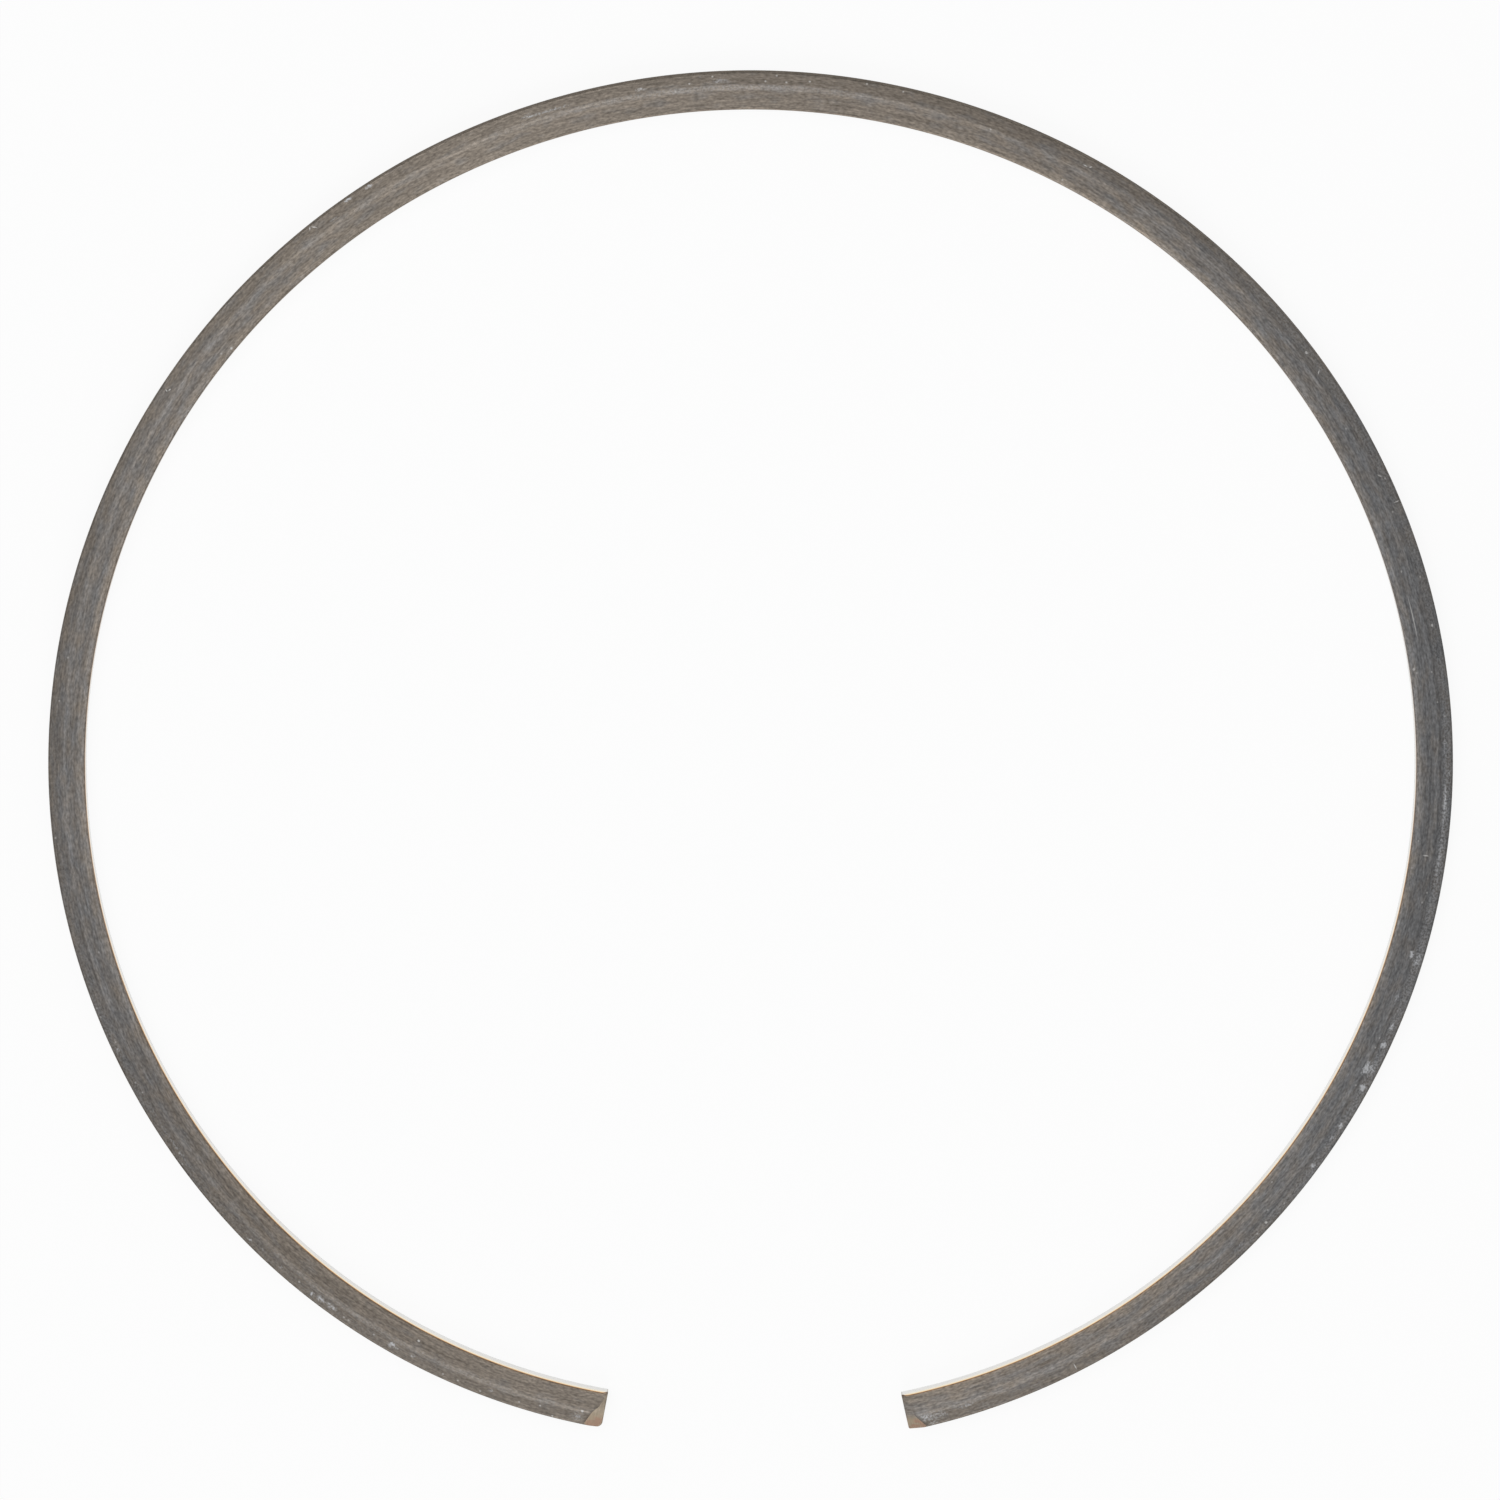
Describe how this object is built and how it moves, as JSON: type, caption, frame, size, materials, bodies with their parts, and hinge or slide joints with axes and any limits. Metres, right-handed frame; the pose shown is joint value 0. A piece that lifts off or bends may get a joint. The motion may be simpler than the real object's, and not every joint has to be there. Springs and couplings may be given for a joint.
{
  "type": "snap ring",
  "caption": "Open ring of flat spring steel wire that snaps into a groove inside a round housing and keeps the parts behind it from sliding out.",
  "frame": {"origin": "centre of the ring's main arc, halfway through its thickness, in the free state", "axes": "+Z square to the ring's flat faces, out of the bevelled face; -Y through the middle of the open gap"},
  "size_m": [0.181, 0.178, 0.0028],
  "materials": {
    "dark_spring_steel": "satin"
  },
  "bodies": {
    "root": {"snap_ring": "dark_spring_steel"}
  },
  "joints": []
}
